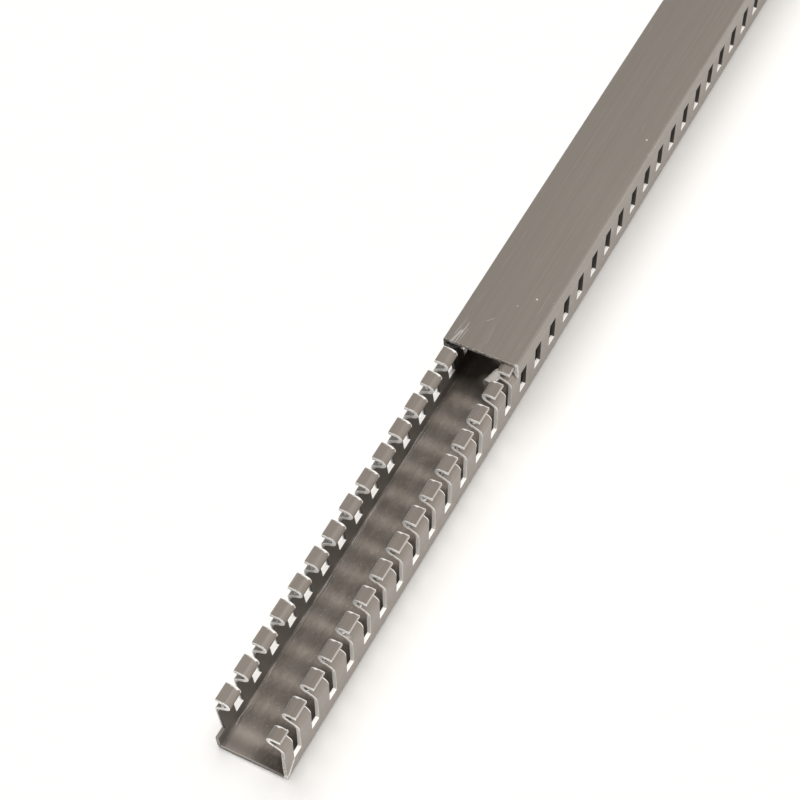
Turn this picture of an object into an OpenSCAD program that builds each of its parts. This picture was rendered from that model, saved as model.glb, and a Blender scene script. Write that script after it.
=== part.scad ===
/* [Duct base] */
// Length of the base and of its cover
duct_length = 1000; // [300:1:1200]
// Width across the underside
base_width = 29; // [20:0.5:60]
// Height from the underside to the top of the finger lips
base_height = 27.6; // [22:0.1:60]
// Thickness of the floor, the walls and the fingers
wall = 1.5; // [0.9:0.1:2]
// Inside radius of the two bottom corners
corner_inside = 0.3; // [0.2:0.1:2]

/* [Fingers] */
// Height of the closed band below the slots
band_height = 7.2; // [4:0.1:12]
// How far a finger leans outwards between the band and its bend
finger_lean = 0.9; // [0:0.1:1.5]
// Inside radius of the bend at the shoulder of a finger
shoulder_inside = 1.5; // [0.5:0.1:2.5]
// Angle of the shoulder above the horizontal
shoulder_angle = 29; // [20:1:35]
// How far the hook reaches inwards from the shoulder's outer face
hook_reach = 6.8; // [6:0.1:8]
// Inside radius of the turn between shoulder and lip
hook_inside = 1; // [0.8:0.1:1.5]
// How far the free end of the lip stays inside the shoulder's outer face
lip_inset = 1; // [0.8:0.1:1.5]

/* [Slots] */
// Width of a slot
slot_width = 4.8; // [3:0.1:6]
// Distance between slots punched in one stroke
slot_pitch = 12.6; // [10:0.1:14]
// Slots in one stroke of the punch
slots_per_stroke = 8; // [4:1:12]
// Step between the last slot of a stroke and the first of the next
stroke_step = 11.8; // [10:0.1:14]
// Slots of a broken stroke before the cut front end
slots_cut_off = 3; // [0:1:3]
// Distance from the front end to the first slot of the right wall
first_slot = 5.7; // [0:0.1:8]
// How far the left row is set nearer the front end than the right row
stagger = 6; // [0:0.1:8]

/* [Cover] */
// Thickness of the cover's plate
cover_plate = 1.2; // [0.8:0.1:2]
// Thickness of the cover's two legs
cover_leg = 1.1; // [0.8:0.1:1.6]
// Outside radius of the cover's two top edges
cover_radius = 0.8; // [0.5:0.1:1.1]
// How far a barb reaches under the lip of a finger
barb_grip = 0.9; // [0.5:0.1:1.5]
// Angle of a barb's underside above the horizontal
barb_angle = 63; // [55:1:70]
// Distance from the base's front end to the cover's front end
cover_back = 176.7; // [0:0.1:250]

/* [Fit] */
// Gap between the cover's plate and the lips that carry it
seat_gap = 0.2; // [0.1:0.05:0.4]
// Gap between the cover's legs or barbs and the fingers
snap_gap = 0.3; // [0.2:0.05:0.5]

/* [Hidden] */
duct_colour = [0.55, 0.51, 0.47];
cut_overshoot = 5;
least_end_web = 0.6;
degrees_per_facet = 22;
small_corner = 0.3;

half_width = base_width / 2;
shoulder_half = half_width + finger_lean;
lip_end = shoulder_half - lip_inset;
lip_under = base_height - wall;
stroke_length = slot_pitch * (slots_per_stroke - 1) + stroke_step;

// The centre line of the wall runs up to the shoulder, over to the hook and back out along the lip
shoulder_x = shoulder_half - wall / 2;
hook_outside = hook_inside + wall;
hook_bend = hook_inside + wall / 2;
hook_centre = [shoulder_half - hook_reach + hook_outside, base_height - hook_outside];
hook_line = hook_centre - hook_bend * [sin(shoulder_angle), cos(shoulder_angle)];
shoulder_z = hook_line.y - (shoulder_x - hook_line.x) * tan(shoulder_angle);
shoulder = [shoulder_x, shoulder_z];
lip_line = base_height - wall / 2;
hook_turn = [hook_line.x - (lip_line - hook_line.y) / tan(shoulder_angle), lip_line];

// One half of the base from the middle of its floor, as points with the radius of each bend's centre line
base_half = [
    [[half_width - wall / 2, wall / 2], corner_inside + wall / 2],
    [[half_width - wall / 2, band_height], 0],
    [shoulder, shoulder_inside + wall / 2],
    [hook_turn, hook_bend],
    [[lip_end, lip_line], 0],
];

function unit(v) = v / norm(v);
function left_of(v) = [-v.y, v.x];
function mirrored(p) = [-p.x, p.y];
function reversed(list) = [for (i = [len(list) - 1 : -1 : 0]) list[i]];
function turned(a, b) = atan2(a.x * b.y - a.y * b.x, a * b);

// Centre of the bend that rounds a path's point, between the directions in which it is reached and left
function bend_centre(at, came, goes, radius) =
    let (turn = turned(came, goes))
    at - came * radius * tan(abs(turn) / 2) + left_of(came) * sign(turn) * radius;

// Points that round one bend of a path, at the distance d to the left of the path
function bend_points(at, came, goes, radius, d) =
    let (
        turn = turned(came, goes),
        spoke = -sign(turn) * left_of(came),
        start = atan2(spoke.y, spoke.x),
        facets = max(1, ceil(abs(turn) / degrees_per_facet))
    )
    radius == 0
        ? [at + left_of(unit(came + goes)) * d / cos(turn / 2)]
        : [for (i = [0 : facets])
            let (a = start + turn * i / facets)
            bend_centre(at, came, goes, radius) + (radius - sign(turn) * d) * [cos(a), sin(a)]];

// One side of a strip that follows a path of points and radii, at the distance d to its left
function side(path, d) = [
    for (i = [0 : len(path) - 1])
        let (
            last = len(path) - 1,
            came = unit(path[max(i, 1)][0] - path[max(i, 1) - 1][0]),
            goes = unit(path[min(i + 1, last)][0] - path[min(i, last - 1)][0])
        )
        for (p = bend_points(path[i][0], came, goes, path[i][1], d)) p
];

// A strip of one thickness that follows a path
module strip(path, thickness) {
    polygon(concat(side(path, thickness / 2), reversed(side(path, -thickness / 2))));
}

module base_section() {
    left_half = [for (p = reversed(base_half)) [mirrored(p[0]), p[1]]];
    strip(concat(left_half, base_half), wall);
}

// A section in X and Z, carried along Y from the front end of the duct's length
module along_duct() {
    translate([0, duct_length / 2, 0])
        rotate([90, 0, 0])
            linear_extrude(height = duct_length)
                children();
}

// Distance of a slot's near edge from the front end, for the slot's number in a whole stroke pattern
function slot_start(i, first) =
    let (n = i + slots_cut_off)
    first + stroke_length * floor(n / slots_per_stroke)
        + slot_pitch * (n % slots_per_stroke - slots_cut_off);

// The slots of one wall, cut from the band up through the hooks
module slot_row(side_sign, first) {
    count = ceil(duct_length / min(slot_pitch, stroke_length / slots_per_stroke)) + 1;
    inner = shoulder_half - hook_reach - cut_overshoot;
    reach = hook_reach + cut_overshoot * 2;
    for (i = [0 : count])
        if (slot_start(i, first) < duct_length - least_end_web)
            translate([
                side_sign > 0 ? inner : -inner - reach,
                slot_start(i, first) - duct_length / 2,
                band_height
            ])
                cube([reach, slot_width, base_height - band_height + cut_overshoot]);
}

module duct_base() {
    color(duct_colour)
        difference() {
            along_duct() base_section();
            slot_row(1, first_slot);
            slot_row(-1, first_slot - stagger);
        }
}

// The centre of the shoulder's bend, which the cover's barb passes at the snap gap
shoulder_centre = bend_centre(
    shoulder,
    unit(shoulder - [half_width - wall / 2, band_height]),
    unit(hook_turn - shoulder),
    shoulder_inside + wall / 2
);
shoulder_outside = shoulder_inside + wall;
cover_under = base_height + seat_gap;
cover_top = cover_under + cover_plate;
leg_inner = lip_end + snap_gap;
leg_outer = leg_inner + cover_leg;
barb_tip = lip_end - barb_grip;
barb_top = lip_under - snap_gap;

// Height of the barb's underside at x: a line that clears the shoulder's bend by the snap gap
function barb_under(x) =
    shoulder_centre.y
        + (shoulder_outside + snap_gap - (x - shoulder_centre.x) * sin(barb_angle)) / cos(barb_angle);

// Points of an arc round a centre
function arc(centre, radius, from, to) =
    let (facets = ceil(abs(to - from) / degrees_per_facet))
    [for (i = [0 : facets])
        let (a = from + (to - from) * i / facets)
        centre + radius * [cos(a), sin(a)]];

module cover_section() {
    right_side = concat(
        arc([leg_outer - cover_radius, cover_top - cover_radius], cover_radius, 90, 0),
        [
            [leg_outer, barb_under(leg_outer) + small_corner],
            [leg_outer - small_corner / 2, barb_under(leg_outer - small_corner / 2)],
            [barb_tip, barb_under(barb_tip)],
            [barb_tip + small_corner / 2, barb_top],
            [leg_inner, barb_top - small_corner],
        ],
        arc([leg_inner - small_corner, cover_under - small_corner], small_corner, 0, 90)
    );
    polygon(concat(right_side, [for (p = reversed(right_side)) mirrored(p)]));
}

module duct_cover() {
    color(duct_colour)
        translate([0, cover_back, 0])
            along_duct() cover_section();
}

duct_base();
duct_cover();
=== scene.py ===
import math
import random

import bmesh
import bpy
from mathutils import Euler, Matrix, Vector
from mathutils import noise as lattice


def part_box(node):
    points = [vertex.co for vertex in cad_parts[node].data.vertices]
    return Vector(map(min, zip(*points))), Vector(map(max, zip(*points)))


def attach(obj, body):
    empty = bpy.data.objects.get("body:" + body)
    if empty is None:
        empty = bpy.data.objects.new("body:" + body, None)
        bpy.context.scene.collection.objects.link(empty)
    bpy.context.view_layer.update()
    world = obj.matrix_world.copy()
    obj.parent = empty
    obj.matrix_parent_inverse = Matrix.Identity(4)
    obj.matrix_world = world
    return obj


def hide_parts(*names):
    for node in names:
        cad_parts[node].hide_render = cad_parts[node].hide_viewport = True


bl_info = {
    "name": "Slotted Wire Duct",
    "version": (1, 0, 0),
    "blender": (4, 5, 0),
    "location": "View3D > Sidebar > Wire Duct",
    "description": "Builds a length of slotted wire duct with its clip-on cover",
    "category": "Add Mesh",
}

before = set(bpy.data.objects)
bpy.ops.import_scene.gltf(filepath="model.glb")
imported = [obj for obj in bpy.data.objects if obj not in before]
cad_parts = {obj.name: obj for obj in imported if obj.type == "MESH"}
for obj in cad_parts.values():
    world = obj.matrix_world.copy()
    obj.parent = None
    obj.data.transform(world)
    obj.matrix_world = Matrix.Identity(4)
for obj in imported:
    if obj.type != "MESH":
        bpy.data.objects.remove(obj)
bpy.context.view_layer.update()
base_low, base_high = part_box("duct_base")
cover_low, cover_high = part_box("duct_cover")

MM = 0.001
# Towards the front end. Round this axis a positive angle turns to the left in X and Z.
FRONT = Vector((0, -1, 0))
# Vertices closer than this are one.
MERGE = 0.01 * MM
# Margin for telling on which side of a level a point lies.
HAIR = 0.2 * MM
# How far along the duct the paint of its two sawn ends reaches.
SAWN_DEPTH = 0.3 * MM
# Greatest turn of one facet of a bend, least turn of an edge that is shaded sharp, and of a square edge.
FACET_TURN = math.radians(15)
SHARP_TURN = math.radians(32)
SQUARE_TURN = math.radians(60)

# Marks on the plastic, each with its two ends and its width in millimetres, and its strength.
# On the floor and on the cover a place is X and the distance from the front end.
FLOOR_MARKS = (
    ((-12.5, 3), (-12.3, 46), 0.35, 0.7),
    ((-12.1, 30), (-12.4, 72), 0.25, 0.8),
    ((-12.6, 66), (-12.2, 118), 0.35, 0.9),
    ((-11.4, 12), (-11.9, 26), 0.2, 0.7),
    ((-12, 27), (-7.6, 32.4), 0.25, 0.7),
    ((-12.3, 104), (-10.4, 99), 0.25, 0.6),
    ((-6, 8), (-8.5, 33), 0.15, 0.4),
    ((-9.3, 50), (-8.1, 61), 0.2, 0.4),
    ((-12.9, 40), (-12.6, 92), 0.2, 0.6),
    ((-11.2, 58), (-11.7, 101), 0.2, 0.6),
    ((-10.3, 68), (-11, 97), 0.15, 0.5),
    ((-11.8, 112), (-11.2, 158), 0.25, 0.6),
    ((-12.7, 120), (-12.5, 165), 0.3, 0.7),
)
# On the right wall a place is the distance from the front end and Z.
WALL_MARKS = (
    ((-0.6, 0.8), (6.6, 7.6), 1.5, 0.8),
    ((-1, 0.4), (1.6, 2.6), 1.8, 1.2),
)
COVER_MARKS = (
    ((-12.6, -1), (-10.7, 7.5), 1.1, 0.32),
    ((-10.9, -2), (-10, 12), 0.3, 0.55),
    ((-9.8, 0), (-9.2, 9), 0.22, 0.4),
    ((-12.9, 3), (-11.8, 13), 0.25, 0.3),
    ((-4.6, 14.2), (-2.2, 17.2), 0.3, 0.35),
    ((0.5, 3), (-0.3, 14), 0.2, 0.18),
    ((8.1, 31.8), (8.4, 32.4), 0.9, 0.8),
    ((2.75, 25.8), (3, 26.3), 0.6, 0.4),
    ((11.6, 124.6), (11.9, 125.4), 1, 0.7),
)


def size(name, description, millimetres):
    """A length that the user can change."""
    return bpy.props.FloatProperty(
        name=name, description=description, default=millimetres * MM, unit="LENGTH", precision=5
    )


def count(name, description, default):
    """A whole number that the user can change."""
    return bpy.props.IntProperty(name=name, description=description, default=default, min=0)


def share(name, description, default):
    """A number from 0 to 1 that the user can change."""
    return bpy.props.FloatProperty(
        name=name, description=description, default=default, min=0, max=1, subtype="FACTOR"
    )


def angle(name, description, degrees):
    """An angle that the user can change."""
    return bpy.props.FloatProperty(
        name=name, description=description, default=math.radians(degrees),
        subtype="ANGLE", unit="ROTATION",
    )


def power(name, description, default):
    """A lamp's strength that the user can change."""
    return bpy.props.FloatProperty(name=name, description=description, default=default, min=0)


def colour(name, description, default):
    """A linear colour that the user can change."""
    return bpy.props.FloatVectorProperty(
        name=name, description=description, default=default, size=3, min=0, max=1, subtype="COLOR"
    )


class DuctBaseSizes(bpy.types.PropertyGroup):
    """Sizes of the duct's section."""

    width: size("Width", "Width across the underside", 29)
    height: size("Height", "Height from the underside to the top of the finger lips", 27.6)
    wall: size("Wall", "Thickness of the floor, the walls and the fingers", 1.5)
    corner_inside: size("Corner radius", "Inside radius of the two bottom corners", 0.3)
    band_height: size("Band height", "Height of the closed band below the slots", 7.2)
    finger_lean: size("Finger lean", "How far a finger leans outwards", 0.9)
    shoulder_inside: size("Shoulder radius", "Inside radius of the bend at the shoulder", 1.5)
    shoulder_angle: angle("Shoulder angle", "Angle of the shoulder above the horizontal", 29)
    hook_reach: size("Hook reach", "How far the hook reaches inwards from the shoulder", 6.8)
    hook_inside: size("Hook radius", "Inside radius of the turn between shoulder and lip", 1)
    lip_inset: size("Lip inset", "How far the lip's free end stays inside the shoulder's outer face", 1)


class DuctSlotSizes(bpy.types.PropertyGroup):
    """Sizes of the two rows of slots."""

    width: size("Slot width", "Width of a slot", 4.8)
    pitch: size("Pitch", "Distance between slots punched in one stroke", 12.6)
    per_stroke: count("Slots per stroke", "Slots in one stroke of the punch", 8)
    stroke_step: size("Stroke step", "Step from a stroke's last slot to the first of the next", 11.8)
    cut_off: count("Slots cut off", "Slots of a broken stroke before the front end", 3)
    first: size("First slot", "Distance from the front end to the first slot of the right wall", 5.7)
    stagger: size("Stagger", "How far the left row is set nearer the front end", 6)
    least_web: size("Least web", "Least length of wall that stays between a slot and the far end", 0.6)


class DuctCoverSizes(bpy.types.PropertyGroup):
    """Sizes of the clip-on cover."""

    plate: size("Plate", "Thickness of the cover's plate", 1.2)
    leg: size("Leg", "Thickness of the cover's legs", 1.1)
    top_radius: size("Top radius", "Outside radius of the cover's two top edges", 0.8)
    barb_grip: size("Barb grip", "How far a barb reaches under the lip", 0.9)
    barb_angle: angle("Barb angle", "Angle of a barb's underside above the horizontal", 63)
    seat_gap: size("Seat gap", "Gap between the plate and the lips", 0.2)
    clip_gap: size("Clip gap", "Gap between the legs or barbs and the fingers", 0.3)
    small_corner: size("Small corner", "Size of the cover's smallest corners", 0.3)


class DuctWaste(bpy.types.PropertyGroup):
    """What the punch and the saw left on the plastic."""

    slug_place: size("Slug place", "Distance from the front end to the hanging slug", 168)
    slug_length: size("Slug length", "Length of the hanging slug", 7)
    slug_turn: angle("Slug turn", "How far the slug is turned inwards", 15)
    slug_shift: size("Slug shift", "How far the slug is pushed inwards", 1.2)
    slug_drop: size("Slug drop", "How far the slug hangs below its place", 0.4)
    slug_facet: size("Slug facet", "Length of a facet along the slug's straight stretches", 0.6)
    cut_stray: size("Cut stray", "How far the cut faces stray from flat", 0.08)
    slug_stray: size("Slug stray", "How far the slug's faces stray from smooth", 0.2)
    duct_edge: size("Duct edge", "Width of the duct's broken edges", 0.1)
    cover_edge: size("Cover edge", "Width of the broken edges at the cover's ends", 0.06)
    burrs: count("Burrs", "Burrs on the near cut of each finger", 3)
    shavings: share("Shavings", "Share of the fingers with a shaving in the groove", 0.75)
    saw_burrs: count("Saw burrs", "Burrs at the cover's front corner", 10)
    seed: count("Seed", "Start of the random numbers", 7)


class DuctFinish(bpy.types.PropertyGroup):
    """Colours and wear of the plastic."""

    base_colour: colour("Duct colour", "Colour of the duct's plastic", (0.25, 0.218, 0.191))
    cover_colour: colour("Cover colour", "Colour of the cover's plastic", (0.25, 0.222, 0.194))
    sheared_colour: colour("Sheared colour", "Colour of a sheared face", (0.6, 0.575, 0.545))
    burr_colour: colour("Burr colour", "Colour of the stretched rim along a cut", (0.93, 0.91, 0.885))
    scratch_colour: colour("Scratch colour", "Colour of scratches and dust", (0.48, 0.45, 0.42))
    roughness: share("Roughness", "Roughness of the moulded skin", 0.4)
    floor_colour: colour("Floor colour", "Colour of the studio floor", (0.98, 0.97, 0.955))


class DuctStudio(bpy.types.PropertyGroup):
    """The camera and the lights."""

    camera_x: size("Camera X", "Camera's place to the right", 258.841)
    camera_y: size("Camera Y", "Camera's place along the duct", -775.133)
    camera_z: size("Camera Z", "Camera's height", 716.08)
    tilt: angle("Tilt", "Camera's turn about X", 35.961)
    roll: angle("Roll", "Camera's turn about Y", 3.602)
    turn: angle("Turn", "Camera's turn about Z", 28.393)
    lens: bpy.props.FloatProperty(name="Lens", description="Focal length", default=102.15, unit="CAMERA")
    zenith: share("Zenith", "Strength of the even light from straight above", 0.1)
    horizon: share("Horizon", "Strength of the even light from low all round", 0.13)
    key: power("Key", "Strength of the wide light from above", 1.46)
    key_turn: angle("Key direction", "Direction of the key light, from the right towards the far end", 20)
    key_height: angle("Key height", "Height of the key light above the horizontal", 78)
    key_spread: angle("Key spread", "How wide the key light is", 34)
    fill: power("Fill", "Strength of the low light from the front and the right", 0.85)
    fill_turn: angle("Fill direction", "Direction of the fill light, from the right towards the far end", -66)
    fill_height: angle("Fill height", "Height of the fill light above the horizontal", 7)
    fill_spread: angle("Fill spread", "How wide the fill light is", 16)
    side: power("Side", "Strength of the light from the right that passes through the slots", 1.85)
    side_turn: angle("Side direction", "Direction of the side light, from the right towards the far end", -1)
    side_height: angle("Side height", "Height of the side light above the horizontal", 47)
    side_spread: angle("Side spread", "How wide the side light is", 10)
    back: power("Back", "Strength of the low light from the left and the far end", 0.6)
    back_turn: angle("Back direction", "Direction of the back light, from the right towards the far end", 150)
    back_height: angle("Back height", "Height of the back light above the horizontal", 9)
    back_spread: angle("Back spread", "How wide the back light is", 40)
    table: power("Table", "Strength of the wide light that falls on the floor alone", 2.5)
    table_turn: angle(
        "Table direction", "Direction of the table light, from the right towards the far end", 120
    )
    table_height: angle("Table height", "Height of the table light above the horizontal", 74)
    table_spread: angle("Table spread", "How wide the table light is", 60)
    floor_lift: share("Floor lift", "Brightness that the floor has of its own", 0.2)


def left_of(v):
    """The direction at a right angle to another, to its left."""
    return Vector((-v.y, v.x))


def turned(came, goes):
    """Angle from one direction to another, positive to the left."""
    return math.atan2(came.x * goes.y - came.y * goes.x, came.dot(goes))


def centre_line(base):
    """The wall's centre line from the middle of the floor to the lip, in X and Z, with each bend's radius."""
    half_wall = base.wall / 2
    side = base.width / 2 - half_wall
    shoulder_half = base.width / 2 + base.finger_lean
    hook_outside = base.hook_inside + base.wall
    hook_bend = base.hook_inside + half_wall
    slope = Vector((math.sin(base.shoulder_angle), math.cos(base.shoulder_angle)))
    hook_centre = Vector((shoulder_half - base.hook_reach + hook_outside, base.height - hook_outside))
    hook_line = hook_centre - hook_bend * slope
    climb = math.tan(base.shoulder_angle)
    shoulder_x = shoulder_half - half_wall
    lip_z = base.height - half_wall
    shoulder_z = hook_line.y - (shoulder_x - hook_line.x) * climb
    return [
        (Vector((0, half_wall)), 0),
        (Vector((side, half_wall)), base.corner_inside + half_wall),
        (Vector((side, base.band_height)), 0),
        (Vector((shoulder_x, shoulder_z)), base.shoulder_inside + half_wall),
        (Vector((hook_line.x - (lip_z - hook_line.y) / climb, lip_z)), hook_bend),
        (Vector((shoulder_half - base.lip_inset, lip_z)), 0),
    ]


def directions(corners, i):
    """Directions in which a line reaches and leaves its corner i."""
    last = len(corners) - 1
    came = (corners[max(i, 1)][0] - corners[max(i, 1) - 1][0]).normalized()
    goes = (corners[min(i + 1, last)][0] - corners[min(i, last - 1)][0]).normalized()
    return came, goes


def beside(corners, distance):
    """The line that runs at a distance to the left of another."""
    line = []
    for i, (at, radius) in enumerate(corners):
        came, goes = directions(corners, i)
        turn = turned(came, goes)
        moved = at + left_of((came + goes).normalized()) * distance / math.cos(turn / 2)
        line.append((moved, radius - math.copysign(1, turn) * distance if radius else 0))
    return line


def flat(point, y):
    """A point in X and Z at a place along Y."""
    return Vector((point.x, y, point.y))


def draw_line(bm, corners, y, run_step=0):
    """Draws a chain of edges through corners, rounded by their radii."""
    last = bm.verts.new(flat(corners[0][0], y))
    chain = [last]
    for i in range(1, len(corners)):
        at, radius = corners[i]
        came, goes = directions(corners, i)
        turn = turned(came, goes)
        target = at - came * radius * math.tan(abs(turn) / 2)
        start = Vector((last.co.x, last.co.z))
        pieces = max(1, round((target - start).length / run_step)) if run_step else 1
        for k in range(pieces):
            made = bmesh.ops.extrude_vert_indiv(bm, verts=[last])["verts"][0]
            made.co = flat(start.lerp(target, (k + 1) / pieces), y)
            last = made
            chain.append(last)
        if radius:
            centre = target + left_of(came) * math.copysign(radius, turn)
            steps = max(1, math.ceil(abs(turn) / FACET_TURN))
            for _ in range(steps):
                last = bmesh.ops.spin(
                    bm, geom=[last], cent=flat(centre, y), axis=FRONT, angle=turn / steps, steps=1
                )["geom_last"][0]
                chain.append(last)
    return chain


def edges_of(chain):
    """The edges between the vertices of a chain."""
    ends = set(chain)
    return [e for v in chain for e in v.link_edges if e.verts[0] == v and e.other_vert(v) in ends]


def sweep(bm, edges, stations):
    """Carries a chain of edges along Y through the stations."""
    for near, far in zip(stations, stations[1:]):
        made = bmesh.ops.extrude_edge_only(bm, edges=edges)["geom"]
        verts = [g for g in made if isinstance(g, bmesh.types.BMVert)]
        fresh = set(verts)
        edges = [e for e in made if isinstance(e, bmesh.types.BMEdge) and set(e.verts) <= fresh]
        bmesh.ops.translate(bm, verts=verts, vec=(0, far - near, 0))


def slot_spans(slots, side, length):
    """Near and far edge of each slot of one wall, from the front end."""
    first = slots.first if side > 0 else slots.first - slots.stagger
    stroke = slots.pitch * (slots.per_stroke - 1) + slots.stroke_step
    spans = []
    n = slots.cut_off
    start = first
    while start < length - slots.least_web:
        spans.append((max(start, 0), min(start + slots.width, length)))
        n += 1
        strokes_gone, place = divmod(n, slots.per_stroke)
        start = first + stroke * strokes_gone + slots.pitch * (place - slots.cut_off)
    return spans


def smooth(bm, sharp_angle):
    """Shades faces smooth, apart from edges that turn by more than an angle."""
    for face in bm.faces:
        face.smooth = True
    for edge in bm.edges:
        edge.smooth = len(edge.link_faces) == 2 and edge.calc_face_angle() < sharp_angle


def finish_piece(bm, name, material, body, nodes=()):
    """Turns a bmesh into a piece that rides on a body and stands for nodes."""
    mesh = bpy.data.meshes.new(name)
    bm.to_mesh(mesh)
    bm.free()
    mesh.materials.append(material)
    piece = bpy.data.objects.new(name, mesh)
    bpy.context.scene.collection.objects.link(piece)
    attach(piece, body)
    if nodes:
        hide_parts(*nodes)


def break_edges(bm, edges, offset):
    """Breaks sharp edges with a narrow bevel."""
    bmesh.ops.bevel(
        bm, geom=edges, offset=offset, offset_type="OFFSET", affect="EDGES",
        segments=1, profile=0.5, material=-1, clamp_overlap=True,
    )


def ragged(bm, above, amount, seed):
    """Moves vertices a little, as a worn punch leaves them, but not those of the duct's two ends."""
    grains_per_metre = 900
    # Unseeded, or with a seed of 0, the noise starts from the clock.
    lattice.seed_set(seed + 1)
    for v in bm.verts:
        if v.co.z > above and base_low.y + HAIR < v.co.y < base_high.y - HAIR:
            v.co += amount * lattice.noise_vector(v.co * grains_per_metre)


def lump(bm, place, radius, stretch, rng):
    """An uneven crumb of plastic."""
    made = bmesh.ops.create_icosphere(bm, subdivisions=1, radius=radius)["verts"]
    for v in made:
        v.co *= rng.uniform(0.7, 1.25)
    bmesh.ops.scale(bm, verts=made, vec=stretch)
    bmesh.ops.translate(bm, verts=made, vec=place)


def curl(bm, place, radius, width, sweep_angle, rng):
    """A curled shaving of plastic."""
    creep = (0, 0.03 * MM, 0.05 * MM)
    thickness = 0.12 * MM
    ends = [bm.verts.new((radius, 0, -width / 2)), bm.verts.new((radius, 0, width / 2))]
    edge = bm.edges.new(ends)
    made = bmesh.ops.spin(
        bm, geom=[edge, *ends], cent=(0, 0, 0), axis=(0, 0, 1), dvec=creep, angle=sweep_angle, steps=9
    )["geom_last"]
    shaving = {v for v in made if isinstance(v, bmesh.types.BMVert)} | set(ends)
    edges = list(shaving)
    while edges:
        near = {e.other_vert(v) for v in edges for e in v.link_edges} - shaving
        shaving |= near
        edges = list(near)
    turn = Euler([rng.uniform(0, math.tau) for _ in range(3)]).to_matrix()
    bmesh.ops.rotate(bm, verts=list(shaving), cent=(0, 0, 0), matrix=turn)
    bmesh.ops.translate(bm, verts=list(shaving), vec=place)
    bmesh.ops.solidify(bm, geom=list({f for v in shaving for f in v.link_faces}), thickness=thickness)


class Wire:
    """A shader value that Python arithmetic joins to others through Math nodes."""

    def __init__(self, paint, socket):
        self.paint = paint
        self.socket = socket

    def maths(self, operation, *values):
        """Adds a Math node."""
        return self.paint.add("Math", {"operation": operation}, dict(enumerate(values)))

    def __add__(self, other):
        return self.maths("ADD", self, other)

    def __sub__(self, other):
        return self.maths("SUBTRACT", self, other)

    def __rsub__(self, other):
        return self.maths("SUBTRACT", other, self)

    def __mul__(self, other):
        return self.maths("MULTIPLY", self, other)

    def __mod__(self, other):
        return self.maths("MODULO", self, other)

    def __abs__(self):
        return self.maths("ABSOLUTE", self)

    def __gt__(self, other):
        return self.maths("GREATER_THAN", self, other)

    def __lt__(self, other):
        return self.maths("LESS_THAN", self, other)

    def least(self, other):
        """The smaller of two values."""
        return self.maths("MINIMUM", self, other)

    def most(self, other):
        """The larger of two values."""
        return self.maths("MAXIMUM", self, other)

    __radd__ = __add__
    __rmul__ = __mul__


class Paint:
    """The nodes of a material or of the sky, each added by one method."""

    def __init__(self, owner, coordinates="Object"):
        owner.use_nodes = True
        self.owner = owner
        self.tree = owner.node_tree
        self.tree.nodes.clear()
        self.places = self.add("TexCoord", {}, {}, coordinates)
        self.x, self.y, self.z = (self.add("SeparateXYZ", {}, {0: self.places}, k) for k in range(3))

    def add(self, kind, settings, inputs, output=0):
        """Adds a node from its type, its settings and the values of its sockets."""
        node = self.tree.nodes.new("ShaderNode" + kind)
        for key, value in settings.items():
            setattr(node, key, value)
        for key, value in inputs.items():
            if isinstance(value, Wire):
                self.tree.links.new(value.socket, node.inputs[key])
            else:
                node.inputs[key].default_value = value
        return Wire(self, node.outputs[output])

    def fade(self, value, low, high):
        """0 below low and 1 above high, with a smooth step between."""
        return self.add(
            "MapRange", {"interpolation_type": "SMOOTHSTEP", "clamp": True},
            {"Value": value, "From Min": low, "From Max": high, "To Min": 0, "To Max": 1},
        )

    def mix(self, share_of_second, first, second):
        """A colour between two colours."""
        inputs = {0: share_of_second}
        for socket, value in ((6, first), (7, second)):
            inputs[socket] = value if isinstance(value, Wire) else (*value, 1)
        return self.add("Mix", {"data_type": "RGBA", "clamp_factor": True}, inputs, 2)

    def grain(self, stretch, scale, detail=2, roughness=0.5, turn=(0, 0, 0), shift=(0, 0, 0)):
        """Noise on Object coordinates that are stretched, turned and shifted."""
        where = self.add(
            "Mapping", {}, {"Vector": self.places, "Location": shift, "Rotation": turn, "Scale": stretch}
        )
        return self.add(
            "TexNoise", {"noise_dimensions": "3D"},
            {"Vector": where, "Scale": scale, "Detail": detail, "Roughness": roughness},
        )

    def skin(self, base_colour, roughness, height, strength=0.3, distance=0.1 * MM):
        """Puts the surface together and gives its material."""
        bump = self.add("Bump", {}, {"Height": height, "Strength": strength, "Distance": distance})
        inputs = {"Base Color": base_colour, "Roughness": roughness, "Normal": bump}
        return self.output("OutputMaterial", self.add("BsdfPrincipled", {}, inputs))

    def output(self, kind, surface):
        """Joins a surface to the output and gives the material or the sky."""
        node = self.tree.nodes.new("ShaderNode" + kind)
        self.tree.links.new(surface.socket, node.inputs["Surface"])
        return self.owner


def tinted(tone, strength):
    """A colour made darker or lighter."""
    return tuple(min(1, strength * c) for c in tone)


def scratches(paint):
    """Thin straight scratches, a few on each stretch, all lying nearly along the duct."""
    shift = (0.3, 0.1, 0.2)
    where = paint.add(
        "Mapping", {},
        {"Vector": paint.places, "Rotation": (0, 0, 0.05), "Location": shift, "Scale": (1, 0.06, 1)},
    )
    cells = paint.add("TexVoronoi", {"feature": "DISTANCE_TO_EDGE"}, {"Vector": where, "Scale": 90})
    line = 1 - paint.fade(cells, 0, 0.012)
    broken = paint.fade(paint.grain((1, 1, 1), 60, 3, shift=shift), 0.56, 0.66)
    return line * broken


def stroke(paint, across, along, start, end, width):
    """One straight mark between two points of a pair of coordinates, faded at both ends."""
    run = Vector(end) - Vector(start)
    heading = run.normalized()
    beyond_x = across - start[0]
    beyond_y = along - start[1]
    gone = beyond_x * heading.x + beyond_y * heading.y
    off = abs(beyond_x * heading.y - beyond_y * heading.x)
    ends = paint.fade(gone, 0, run.length * 0.15) * (1 - paint.fade(gone, run.length * 0.8, run.length))
    return (1 - paint.fade(off, width * 0.25, width * 0.6)) * ends


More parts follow.
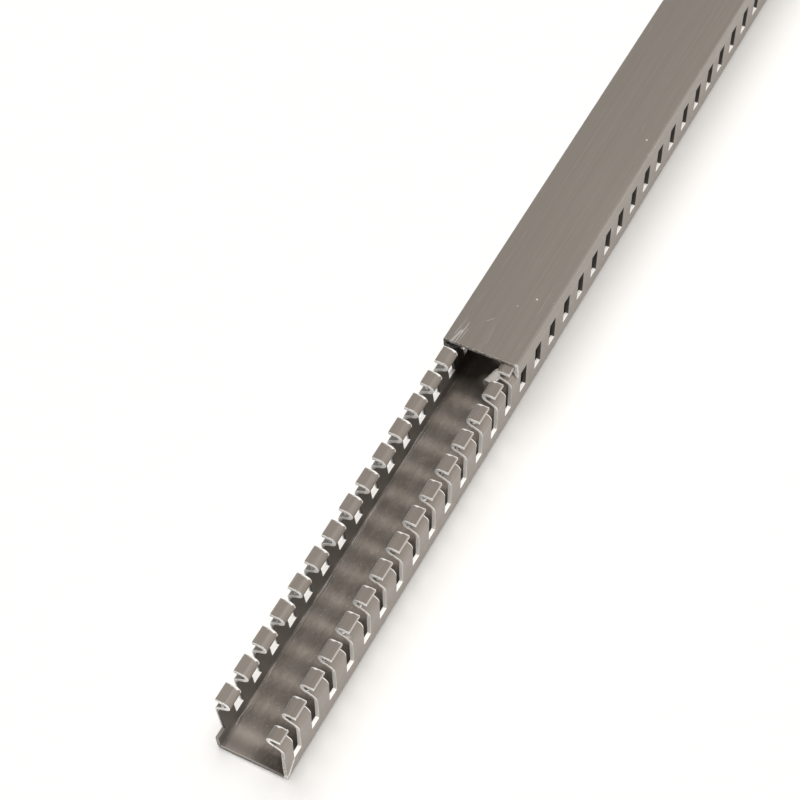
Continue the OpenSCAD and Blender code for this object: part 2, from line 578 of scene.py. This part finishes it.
def strokes(paint, across, along, marks):
    """Several marks in one mask. Each has its two ends, its width in millimetres and its strength."""
    found = None
    for start, end, width, strength in marks:
        near, far = ([c * MM for c in point] for point in (start, end))
        mark = stroke(paint, across, along, near, far, width * MM) * strength
        found = mark if found is None else found.most(mark)
    return found


def plastic(paint, finish, tone):
    """The moulded skin as colour, roughness and height: fine lengthwise streaks, clouds and scratches."""
    streaks = paint.grain((1, 0.012, 1), 900, 4, 0.65)
    broad = paint.grain((1, 0.05, 1), 130)
    cloudy = paint.fade(paint.grain((1, 1, 1), 240, 3, 0.6), 0.3, 0.75)
    darker = tinted(tone, 0.92)
    skin = paint.mix(paint.fade(streaks, 0.32, 0.68), darker, tinted(tone, 1.05))
    skin = paint.mix(paint.fade(broad, 0.35, 0.65) * 0.35, skin, tinted(darker, 0.97))
    skin = paint.mix(cloudy * 0.3, skin, tinted(tone, 0.93))
    marks = scratches(paint) * 0.4
    skin = paint.mix(marks, skin, finish.scratch_colour)
    rough = finish.roughness + (broad - 0.5) * 0.16 + marks * 0.15
    height = streaks * 0.6 + paint.grain((1, 1, 1), 2600) * 0.4 - marks * 0.5
    return skin, rough, height


class DuctPlaces:
    """Where a point of the duct lies, as shader values: distances, and masks that are 0 or 1."""

    def __init__(self, paint, sizes, slots, length):
        facing = paint.add("NewGeometry", {}, {}, "True Normal")
        self.facing_y, self.facing_z = (paint.add("SeparateXYZ", {}, {0: facing}, k) for k in (1, 2))
        self.depth = paint.add("Attribute", {"attribute_name": "depth"}, {}, "Fac")
        self.outside = abs(paint.x)
        self.right = paint.x > 0
        self.along = paint.y - base_low.y
        self.inner = (self.along > SAWN_DEPTH) * (self.along < length - SAWN_DEPTH)

        shift = slots.stagger * (1 - self.right) + (slots.cut_off * slots.pitch - slots.first)
        stroke_length = slots.pitch * (slots.per_stroke - 1) + slots.stroke_step
        in_stroke = (self.along + shift) % stroke_length
        in_pitch = in_stroke % slots.pitch
        self.from_near = in_pitch - slots.width
        self.to_far = (slots.pitch - in_pitch).least(stroke_length - in_stroke)

        self.wall_inner = sizes.width / 2 - sizes.wall
        self.shoulder_half = sizes.width / 2 + sizes.finger_lean
        self.turn_x = self.shoulder_half - sizes.hook_reach + sizes.hook_inside + sizes.wall
        self.lip_under = sizes.height - sizes.wall
        self.finger = paint.z > sizes.band_height - HAIR
        self.lip = (self.outside < self.turn_x).most(paint.z > self.lip_under - 2 * HAIR) * self.finger
        self.high = paint.fade(paint.z, 18.5 * MM, 21.5 * MM)
        self.cut_face = abs(self.facing_y) > 0.55
        self.floor = (self.outside < self.wall_inner) * (paint.z < sizes.wall * 1.2)
        # In front of the cover; the cut faces behind its front edge are painted dark as shade.
        self.open_part = 1 - paint.fade(paint.y, cover_low.y - 6 * MM, cover_low.y)


def soil_shade_and_light(paint, at, sizes, finish, skin):
    """Grime, dust, scratches and creases on the channel's inside, laid over the skin, with painted shade on
    the inner walls, towards the floor's right side, on its front right part and in its inside corners, and
    painted light on the floor's front left end and along the top edge of its sawn front.
    """
    tone = finish.base_colour
    # Colour for grime and for painted shade.
    grime_and_shade = tuple(w * c for w, c in zip((0.68, 0.64, 0.59), tone))
    # Painted shade: the inner faces of both walls, below the shoulders, are made much darker.
    inside = (at.depth > 0.9) * (paint.z > sizes.wall * 1.2) * (1 - at.high)
    skin = paint.mix(inside, skin, tinted(tone, 0.38))

    wobble = (paint.grain((1, 0.6, 1), 260, 3, 0.6) - 0.5) * 2.4 * MM
    at_front = 1 - paint.fade(at.along, 7 * MM, 16 * MM)
    # Painted light: a lighter patch on the floor at its front left end, with the dust and shade left off
    # there.
    front_light_patch = at_front * (1 - paint.fade(paint.x + wobble, -6 * MM, MM))
    patches = paint.fade(paint.grain((1, 0.4, 1), 110, 4, 0.65), 0.34, 0.6)
    # Dust in patches, and painted shade darkening the floor towards the right wall.
    dust_and_right_shade = 0.08 + 0.45 * patches + 0.45 * paint.fade(paint.x, 0, 9 * MM)
    skin = paint.mix(dust_and_right_shade * at.floor * (1 - front_light_patch), skin, grime_and_shade)
    # Painted shade on the floor's front right part.
    shaded = at.floor * at_front * paint.fade(paint.x, -2 * MM, 5 * MM)
    skin = paint.mix(shaded * 0.6, skin, tinted(grime_and_shade, 0.6))
    skin = paint.mix(at.floor * front_light_patch * 0.75, skin, tinted(tone, 1.3))
    mottled = paint.fade(paint.grain((1, 0.5, 1), 420, 5, 0.7), 0.42, 0.66)
    skin = paint.mix(mottled * at.floor * 0.5, skin, tinted(tone, 1.3))

    # Painted shade in the floor's inside corners along the walls, broken in places.
    corner = paint.fade(at.outside, at.wall_inner - 2 * MM, at.wall_inner - 0.4 * MM) * (at.depth > 0.5)
    corner = corner * (1 - paint.fade(paint.z, sizes.wall + 0.6 * MM, sizes.wall + 2.5 * MM))
    kept = paint.fade(paint.grain((1, 0.15, 1), 420, 3), 0.5, 0.62)
    skin = paint.mix(corner * (1 - 0.9 * kept), skin, tinted(tone, 0.58))

    # Painted shade on the floor's sawn front face, and a painted highlight along the top edge of that face.
    front_edge_light_and_shade = (at.along < 0.5 * MM) * at.floor
    skin = paint.mix(front_edge_light_and_shade * at.cut_face, skin, tinted(tone, 0.6))
    skin = paint.mix(front_edge_light_and_shade * (1 - at.cut_face) * 0.6, skin, finish.sheared_colour)
    specks = paint.fade(paint.grain((1, 1, 1), 1500, 1), 0.7, 0.76)
    skin = paint.mix(specks * at.floor * 0.8, skin, finish.scratch_colour)
    broken = paint.fade(paint.grain((1, 0.2, 1), 420, 3), 0.44, 0.62)
    worn = strokes(paint, paint.x + wobble, at.along, FLOOR_MARKS) * at.floor
    skin = paint.mix(worn * (0.25 + 0.7 * broken), skin, finish.scratch_colour)
    creased = strokes(paint, at.along, paint.z, WALL_MARKS) * (paint.x > at.wall_inner)
    return paint.mix(creased * (0.5 + 0.5 * broken), skin, finish.burr_colour)


def torn_rims(paint, at, sizes, tear):
    """The pale rims beside the cuts, widest on the near side of each hook."""
    wave = paint.grain((1, 0, 1), 380)
    torn_width = (wave - 0.36).most(0) * 4.4 * MM
    ragged = (1 - paint.fade(at.to_far, torn_width * 0.5, torn_width)) * at.lip
    ragged = ragged * (1 - paint.fade(at.outside, at.turn_x, at.turn_x + 2 * MM + 2 * MM * at.right))
    thin = 1 - paint.fade(at.to_far, 0.22 * MM, 0.42 * MM)
    near = (1 - paint.fade(at.from_near, 0.08 * MM, 0.3 * MM)) * paint.fade(tear, 0.4, 0.52)
    lip_end = at.shoulder_half - sizes.lip_inset
    outer = paint.fade(at.outside, lip_end - 0.3 * MM, lip_end - 0.15 * MM) * (paint.z > at.lip_under)
    rims = (thin.most(ragged) * 0.9).most(near * at.lip * 0.7).most(outer * at.lip * 0.25)
    return rims * (at.from_near > -HAIR / 2) * at.high * at.inner * (1 - at.cut_face)


def whiten_and_shade_cuts(paint, at, sizes, finish, skin):
    """Cut faces and their rims, laid over the skin, with the mask of torn places and their grain. Cut faces
    out of the light are painted dark as shade, and only the lit ones are whitened.
    """
    pale, burr = finish.sheared_colour, finish.burr_colour
    tear = paint.grain((1, 1, 1), 900, 3, 0.6)
    outer_half = 1 - paint.fade(at.depth, 0.3, 0.6)
    sheared = at.cut_face * at.finger * at.inner
    # Where the cut faces count as lit: the right wall, above the shoulders, and the outer half of the left
    # wall, in front of the cover only.
    lit = at.right.most(at.high).most(outer_half * (1 - at.right)) * at.open_part
    # Upper cut edges near white as stress whitening, but only in front of the cover; under it they keep their
    # painted shade.
    bright = outer_half.most(at.lip) * at.high * (0.5 + 0.5 * paint.fade(tear, 0.25, 0.5)) * at.open_part
    on_wall = (at.outside > sizes.width / 2 - 1.2 * sizes.wall).most(paint.z > 5 * MM)
    sawn = (at.along < SAWN_DEPTH) * at.cut_face * at.right * on_wall
    foot = sawn * (1 - paint.fade(paint.z, 1.5 * MM, 4 * MM)) * paint.fade(tear, 0.42, 0.55)
    # Slot bottoms near white, partly as stress whitening and partly as a painted highlight brighter than the
    # burr colour; near the front end only on the right wall.
    slot_bottom = (at.facing_z > 0.6) * (paint.z < sizes.band_height + HAIR) * at.finger * at.inner
    slot_bottom = slot_bottom * at.right.most(at.along > 6 * MM)
    rims = torn_rims(paint, at, sizes, tear)

    # Painted shade: all cut faces are first made very dark, and then the lit ones pale.
    skin = paint.mix(sheared, skin, tinted(finish.base_colour, 0.16))
    skin = paint.mix(sheared * lit, skin, pale)
    skin = paint.mix(sawn * paint.fade(tear, 0.3, 0.62), skin, pale)
    skin = paint.mix((sheared.most(sawn * at.high) * bright).most(foot), skin, burr)
    skin = paint.mix(slot_bottom, skin, tinted(burr, 1.07))
    skin = paint.mix(rims, skin, burr)
    return skin, sheared.most(rims).most(slot_bottom).most(sawn), tear


def duct_paint(name, sizes, slots, finish, length):
    """The duct's plastic, soiled inside with painted shade and light there too, and whitened where the slots
    were sheared out, with cut faces out of the light painted dark as shade.
    """
    paint = Paint(bpy.data.materials.new(name))
    at = DuctPlaces(paint, sizes, slots, length)
    skin, rough, height = plastic(paint, finish, finish.base_colour)
    skin = soil_shade_and_light(paint, at, sizes, finish, skin)
    skin, torn, tear = whiten_and_shade_cuts(paint, at, sizes, finish, skin)
    return paint.skin(skin, rough + torn * 0.2, height + torn * tear * 2, 0.35, 0.12 * MM)


def cover_paint(name, finish):
    """The cover's plastic, with painted shade on its sawn front end, darkest on the left, and whitened along
    the rim and at the right corner.
    """
    paint = Paint(bpy.data.materials.new(name))
    skin, rough, height = plastic(paint, finish, finish.cover_colour)
    tear = paint.grain((1, 1, 1), 1100, 3, 0.6)
    broken = paint.fade(paint.grain((1, 0.25, 1), 700, 3), 0.36, 0.55)
    from_front = paint.y - cover_low.y
    facing = paint.add("NewGeometry", {}, {}, "True Normal")
    end = (paint.add("SeparateXYZ", {}, {0: facing}, 1) < -0.55) * (from_front < MM)
    top = paint.z > cover_high.z - HAIR
    corner = paint.fade(paint.x, cover_high.x - 2.2 * MM, cover_high.x - 0.6 * MM)
    left = 1 - paint.fade(paint.x, cover_low.x + 1.5 * MM, cover_low.x + 3 * MM)
    rim = (1 - paint.fade(from_front, 0, (tear - 0.3).most(0.02) * 1.6 * MM)) * paint.fade(tear, 0.35, 0.6)
    ragged = 1 - paint.fade(from_front, (tear - 0.4).most(0) * 3 * MM, (tear - 0.3).most(0) * 6 * MM)
    chipped = end * corner * paint.fade(tear, 0.45, 0.56)
    marks = strokes(paint, paint.x, from_front, COVER_MARKS) * top

    skin = paint.mix(marks * (0.35 + 0.65 * broken), skin, finish.burr_colour)
    # Painted shade on the sawn front end.
    skin = paint.mix(end, skin, tinted(finish.cover_colour, 0.5))
    whitened = (rim * 0.35).most(ragged * corner * 0.5).most(chipped * 0.8)
    skin = paint.mix(whitened, skin, finish.burr_colour)
    # Deeper painted shade on the front end's left part.
    skin = paint.mix(end * left, skin, tinted(finish.cover_colour, 0.25))
    return paint.skin(skin, rough + rim * 0.2, height + rim * tear * 2)


def torn_paint(name, finish, share_of_burr):
    """Plastic stretched until it turned pale, for burrs, shavings and the torn slug."""
    paint = Paint(bpy.data.materials.new(name))
    tear = paint.grain((1, 1, 1), 1300, 3, 0.6)
    skin = paint.mix(paint.fade(tear, 0.3, 0.7), finish.sheared_colour, finish.burr_colour)
    skin = paint.mix(share_of_burr, tinted(finish.base_colour, 1.15), skin)
    return paint.skin(skin, 0.55 + (tear - 0.5) * 0.2, tear, 0.4)


def draw_channel(bm, sizes, spans, length):
    """The channel's outer face from end to end, with a row of edges at each edge of a slot."""
    cuts = {0.0, length}.union(*(set(span) for row in spans.values() for span in row))
    stations = [base_low.y + cut for cut in sorted(cuts)]
    chain = draw_line(bm, beside(centre_line(sizes), -sizes.wall / 2), stations[0])
    sweep(bm, edges_of(chain), stations)
    bmesh.ops.mirror(bm, geom=bm.verts[:] + bm.edges[:] + bm.faces[:], merge_dist=MERGE, axis="X")
    bmesh.ops.recalc_face_normals(bm, faces=bm.faces[:])
    underside = [f for f in bm.faces if f.calc_center_median().z < sizes.wall]
    if sum(f.normal.z * f.calc_area() for f in underside) > 0:
        bmesh.ops.reverse_faces(bm, faces=bm.faces[:])


def punch_slots(bm, sizes, spans):
    """Takes the slots' faces out of the channel."""
    gone = []
    for f in bm.faces:
        middle = f.calc_center_median()
        along = middle.y - base_low.y
        if middle.z > sizes.band_height:
            row = spans[1 if middle.x > 0 else -1]
            if any(near < along < far for near, far in row):
                gone.append(f)
    bmesh.ops.delete(bm, geom=gone, context="FACES")


def thicken(bm, thickness):
    """Gives the channel its wall, and writes 0 on the outer face and 1 on the inner one for the paint."""
    depth = bm.verts.layers.float.new("depth")
    outer = set(bm.verts)
    bmesh.ops.solidify(bm, geom=bm.faces[:], thickness=thickness)
    for v in bm.verts:
        v[depth] = 0 if v in outer else 1
    bmesh.ops.recalc_face_normals(bm, faces=bm.faces[:])


def square_edges(bm):
    """The edges where two faces meet at more than a square edge's least turn."""
    return [e for e in bm.edges if e.calc_face_angle(0) > SQUARE_TURN]


def wear_cuts(bm, sizes, waste):
    """Divides the long edges of the cuts and moves their vertices a little."""
    long_edge = 1.5 * MM
    edges = [
        e for e in square_edges(bm)
        if abs(e.verts[0].co.y - e.verts[1].co.y) < MERGE
        and min(v.co.z for v in e.verts) > sizes.band_height - HAIR / 2
        and e.calc_length() > long_edge
    ]
    bmesh.ops.subdivide_edges(bm, edges=edges, cuts=4)
    ragged(bm, sizes.band_height + HAIR / 2, waste.cut_stray, waste.seed)


def cover_outline(sizes, cover):
    """Half of the cover's section, with each corner's radius."""
    line = centre_line(sizes)
    shoulder, bend = line[3]
    came, goes = directions(line, 3)
    centre = shoulder - came * bend * math.tan(turned(came, goes) / 2) + left_of(came) * bend
    reach = sizes.shoulder_inside + sizes.wall + cover.clip_gap

    def barb_under(x):
        """Height of the barb's underside, which clears the shoulder's bend by the clip gap."""
        return centre.y + (reach - (x - centre.x) * math.sin(cover.barb_angle)) / math.cos(cover.barb_angle)

    lip_end = sizes.width / 2 + sizes.finger_lean - sizes.lip_inset
    under = sizes.height + cover.seat_gap
    top = under + cover.plate
    leg_inner = lip_end + cover.clip_gap
    leg_outer = leg_inner + cover.leg
    barb_tip = lip_end - cover.barb_grip
    barb_top = sizes.height - sizes.wall - cover.clip_gap
    small = cover.small_corner
    corners = (
        ((0, top), 0),
        ((leg_outer, top), cover.top_radius),
        ((leg_outer, barb_under(leg_outer - small / 2)), small / 2),
        ((barb_tip, barb_under(barb_tip)), small / 3),
        ((barb_tip + small / 3, barb_top), small / 3),
        ((leg_inner, barb_top - small / 2), small / 2),
        ((leg_inner, under), small),
        ((0, under), 0),
    )
    return [(Vector(at), radius) for at, radius in corners]


class DUCT_OT_base(bpy.types.Operator):
    """Build the channel with its two rows of fingers"""

    bl_idname = "duct.base"
    bl_label = "Duct Base"

    def execute(self, context):
        scene = context.scene
        sizes, slots, waste = scene.duct_base, scene.duct_slots, scene.duct_waste
        length = base_high.y - base_low.y
        spans = {side: slot_spans(slots, side, length) for side in (-1, 1)}
        bm = bmesh.new()
        draw_channel(bm, sizes, spans, length)
        punch_slots(bm, sizes, spans)
        thicken(bm, sizes.wall)
        wear_cuts(bm, sizes, waste)
        break_edges(bm, [e for e in square_edges(bm) if e.is_convex], waste.duct_edge)
        smooth(bm, SHARP_TURN)
        material = duct_paint("duct_plastic_skin", sizes, slots, scene.duct_finish, length)
        finish_piece(bm, "base_channel", material, "base", ["duct_base"])
        return {"FINISHED"}


class DUCT_OT_cover(bpy.types.Operator):
    """Build the clip-on cover"""

    bl_idname = "duct.cover"
    bl_label = "Duct Cover"

    def execute(self, context):
        scene = context.scene
        bm = bmesh.new()
        draw_line(bm, cover_outline(scene.duct_base, scene.duct_cover), cover_low.y)
        bmesh.ops.mirror(bm, geom=bm.verts[:] + bm.edges[:], merge_dist=MERGE, axis="X")
        bmesh.ops.triangle_fill(bm, edges=bm.edges[:], use_beauty=True)
        made = bmesh.ops.extrude_face_region(bm, geom=bm.faces[:], use_keep_orig=True)["geom"]
        far_verts = [g for g in made if isinstance(g, bmesh.types.BMVert)]
        bmesh.ops.translate(bm, verts=far_verts, vec=(0, cover_high.y - cover_low.y, 0))
        bmesh.ops.recalc_face_normals(bm, faces=bm.faces[:])
        rims = [e for e in square_edges(bm) if abs(e.verts[0].co.y - e.verts[1].co.y) < MM]
        break_edges(bm, rims, scene.duct_waste.cover_edge)
        smooth(bm, SHARP_TURN)
        material = cover_paint("cover_plastic_skin", scene.duct_finish)
        finish_piece(bm, "cover_strip", material, "cover", ["duct_cover"])
        return {"FINISHED"}


class DUCT_OT_slug(bpy.types.Operator):
    """Build the torn slug that still hangs in a slot of the right wall"""

    bl_idname = "duct.slug"
    bl_label = "Slot Slug"

    def execute(self, context):
        scene = context.scene
        sizes, waste = scene.duct_base, scene.duct_waste
        line = centre_line(sizes)
        shoulder, turn, lip = line[3][0], line[4], line[5][0]
        shoulder_gone, lip_kept = 0.3, 0.77
        corners = [(shoulder.lerp(turn[0], shoulder_gone), 0), turn, (turn[0].lerp(lip, lip_kept), 0)]
        start = base_low.y + waste.slug_place
        rows = 8
        thickness = 0.8 * sizes.wall
        bm = bmesh.new()
        chain = draw_line(bm, beside(corners, -sizes.wall / 2), start, waste.slug_facet)
        sweep(bm, edges_of(chain), [start + waste.slug_length * k / rows for k in range(rows + 1)])
        bmesh.ops.recalc_face_normals(bm, faces=bm.faces[:])
        bmesh.ops.solidify(bm, geom=bm.faces[:], thickness=-thickness)
        bmesh.ops.recalc_face_normals(bm, faces=bm.faces[:])
        ragged(bm, 0, waste.slug_stray, waste.seed)
        hinge = (turn[0].x + 2 * MM, start + waste.slug_length, 0)
        bmesh.ops.rotate(bm, verts=bm.verts[:], cent=hinge, matrix=Matrix.Rotation(-waste.slug_turn, 3, "Z"))
        bmesh.ops.translate(bm, verts=bm.verts[:], vec=(-waste.slug_shift, 0, -waste.slug_drop))
        smooth(bm, sharp_angle=math.radians(40))
        material = torn_paint("slug_skin", scene.duct_finish, share_of_burr=0.35)
        finish_piece(bm, "slot_slug", material, "base")
        return {"FINISHED"}


class DUCT_OT_burrs(bpy.types.Operator):
    """Build the burrs and shavings that the punch and the saw left"""

    bl_idname = "duct.burrs"
    bl_label = "Burrs and Shavings"
    sharp_turn = math.radians(50)
    burr_shape = (1.3, 0.5, 0.9)
    saw_burr_shape = (1, 0.8, 1.2)
    plain_end = 2 * MM

    def execute(self, context):
        scene = context.scene
        sizes, waste = scene.duct_base, scene.duct_waste
        rng = random.Random(waste.seed)
        length = base_high.y - base_low.y
        bm = bmesh.new()
        for side in (-1, 1):
            for _, far in slot_spans(scene.duct_slots, side, length):
                if far < length - self.plain_end:
                    self.finger_waste(bm, sizes, waste, side, base_low.y + far, rng)
        smooth(bm, self.sharp_turn)
        material = torn_paint("burr_skin", scene.duct_finish, share_of_burr=0.85)
        finish_piece(bm, "slot_burrs", material, "base")

        bm = bmesh.new()
        self.saw_waste(bm, waste, rng)
        smooth(bm, self.sharp_turn)
        finish_piece(bm, "cover_burrs", material, "cover")
        return {"FINISHED"}

    def finger_waste(self, bm, sizes, waste, side, y, rng):
        """Burrs on the near cut of one finger, and perhaps a shaving in the groove of its hook."""
        hook_x = sizes.width / 2 + sizes.finger_lean - sizes.hook_reach
        lip_x = centre_line(sizes)[5][0].x
        for _ in range(waste.burrs):
            x = rng.uniform(hook_x + 1.2 * MM, lip_x)
            below_top = rng.uniform(0.15, 1.3) * MM
            radius = rng.uniform(0.14, 0.3) * MM
            place = (side * x, y - 0.05 * MM, sizes.height - below_top)
            lump(bm, place, radius, self.burr_shape, rng)
        if rng.random() < waste.shavings:
            groove = (side * (hook_x + 3 * MM), y + 0.4 * MM, sizes.height - sizes.wall - 0.9 * MM)
            radius = rng.uniform(0.35, 0.6) * MM
            width = rng.uniform(0.6, 1.2) * MM
            turn = rng.uniform(3, 5)
            curl(bm, groove, radius, width, turn, rng)

    def saw_waste(self, bm, waste, rng):
        """Burrs down the cover's front right corner, and a sliver and a crumb under its front edge."""
        for _ in range(waste.saw_burrs):
            z = rng.uniform(cover_high.z - 6.5 * MM, cover_high.z - 0.6 * MM)
            inset = rng.uniform(0.5, 1) * MM
            radius = rng.uniform(0.16, 0.3) * MM
            place = (cover_high.x - inset, cover_low.y + 0.25 * MM, z)
            lump(bm, place, radius, self.saw_burr_shape, rng)
        y = cover_low.y + 0.3 * MM
        sliver, sliver_shape = (-6.2 * MM, y, cover_high.z - 3 * MM), (0.2, 0.12, 1.2)
        crumb, crumb_shape = (-8 * MM, y, cover_high.z - 2.4 * MM), (0.9, 0.4, 0.8)
        lump(bm, sliver, 1.2 * MM, sliver_shape, rng)
        lump(bm, crumb, 0.6 * MM, crumb_shape, rng)


class DUCT_OT_stage(bpy.types.Operator):
    """Set the floor, the lights and the camera"""

    bl_idname = "duct.stage"
    bl_label = "Duct Stage"
    sky_colour = (1, 0.99, 0.975, 1)
    lamp_colour = (1, 0.99, 0.97)

    def execute(self, context):
        scene = context.scene
        studio = scene.duct_studio
        floor = self.floor(scene, studio)
        scene.world = self.sky(studio)
        for name in ("key", "fill", "side", "back", "table"):
            self.lamp(scene, studio, name, floor)
        scene.camera = self.camera(scene, studio)
        scene.view_settings.view_transform = "Standard"
        return {"FINISHED"}

    def floor(self, scene, studio):
        """A plain pale floor just below the duct."""
        half_side, below = 30, 0.02 * MM
        bm = bmesh.new()
        bmesh.ops.create_grid(bm, x_segments=1, y_segments=1, size=half_side)
        bmesh.ops.translate(bm, verts=bm.verts[:], vec=(0, 0, -below))
        mesh = bpy.data.meshes.new("studio_floor")
        bm.to_mesh(mesh)
        bm.free()
        paint = Paint(bpy.data.materials.new("studio_floor_white"))
        white = (*scene.duct_finish.floor_colour, 1)
        matt = paint.add("BsdfDiffuse", {}, {"Color": white})
        glow = paint.add("Emission", {}, {"Color": white, "Strength": studio.floor_lift})
        mesh.materials.append(paint.output("OutputMaterial", paint.add("AddShader", {}, {0: matt, 1: glow})))
        floor = bpy.data.objects.new("studio_floor", mesh)
        scene.collection.objects.link(floor)
        return floor

    def sky(self, studio):
        """Even light from all round, which the camera sees as white."""
        sky = Paint(bpy.data.worlds.new("studio_sky"), "Generated")
        low = 1 - sky.z.most(0)
        strength = studio.zenith + low * low * (studio.horizon - studio.zenith)
        strength = strength.most(sky.add("LightPath", {}, {}, "Is Camera Ray"))
        light = sky.add("Background", {}, {"Color": self.sky_colour, "Strength": strength})
        return sky.output("OutputWorld", light)

    def lamp(self, scene, studio, name, floor):
        """A distant lamp. The table lamp lights only the floor, and the others all but the floor."""
        light = bpy.data.lights.new(name + "_light", "SUN")
        light.energy = getattr(studio, name)
        light.angle = getattr(studio, name + "_spread")
        light.color = self.lamp_colour
        lamp = bpy.data.objects.new(name + "_light", light)
        scene.collection.objects.link(lamp)
        turn = getattr(studio, name + "_turn")
        towards = Vector((math.cos(turn), math.sin(turn), math.tan(getattr(studio, name + "_height"))))
        lamp.rotation_euler = towards.to_track_quat("Z", "Y").to_euler()
        lit = bpy.data.collections.new("lit_by_" + name)
        lit.objects.link(floor)
        lit.collection_objects[0].light_linking.link_state = "INCLUDE" if name == "table" else "EXCLUDE"
        lamp.light_linking.receiver_collection = lit

    def camera(self, scene, studio):
        """The camera at the photograph's angle."""
        camera = bpy.data.objects.new("camera", bpy.data.cameras.new("camera"))
        scene.collection.objects.link(camera)
        camera.location = (studio.camera_x, studio.camera_y, studio.camera_z)
        camera.rotation_euler = Euler((studio.tilt, studio.roll, studio.turn))
        camera.data.sensor_width = 36
        camera.data.lens = studio.lens
        camera.data.clip_start = 0.01
        return camera


class DUCT_PT_panel(bpy.types.Panel):
    """The duct's tools in the sidebar"""

    bl_idname = "DUCT_PT_panel"
    bl_label = "Wire Duct"
    bl_space_type = "VIEW_3D"
    bl_region_type = "UI"
    bl_category = "Wire Duct"

    def draw(self, context):
        for group in GROUPS:
            for name in getattr(context.scene, group).__annotations__:
                self.layout.prop(getattr(context.scene, group), name)
        for operator in OPERATORS:
            self.layout.operator(operator.bl_idname)


GROUPS = {
    "duct_base": DuctBaseSizes,
    "duct_slots": DuctSlotSizes,
    "duct_cover": DuctCoverSizes,
    "duct_waste": DuctWaste,
    "duct_finish": DuctFinish,
    "duct_studio": DuctStudio,
}
OPERATORS = (DUCT_OT_base, DUCT_OT_cover, DUCT_OT_slug, DUCT_OT_burrs, DUCT_OT_stage)


def register():
    """Adds the properties, the operators and the panel."""
    for name, group in GROUPS.items():
        bpy.utils.register_class(group)
        setattr(bpy.types.Scene, name, bpy.props.PointerProperty(type=group))
    for cls in (*OPERATORS, DUCT_PT_panel):
        bpy.utils.register_class(cls)


def unregister():
    """Takes away what register adds."""
    for cls in (DUCT_PT_panel, *reversed(OPERATORS)):
        bpy.utils.unregister_class(cls)
    for name, group in GROUPS.items():
        delattr(bpy.types.Scene, name)
        bpy.utils.unregister_class(group)


def main():
    """Builds the duct and its stage."""
    register()
    bpy.ops.duct.base()
    bpy.ops.duct.cover()
    bpy.ops.duct.slug()
    bpy.ops.duct.burrs()
    bpy.ops.duct.stage()


if __name__ == "__main__":
    main()
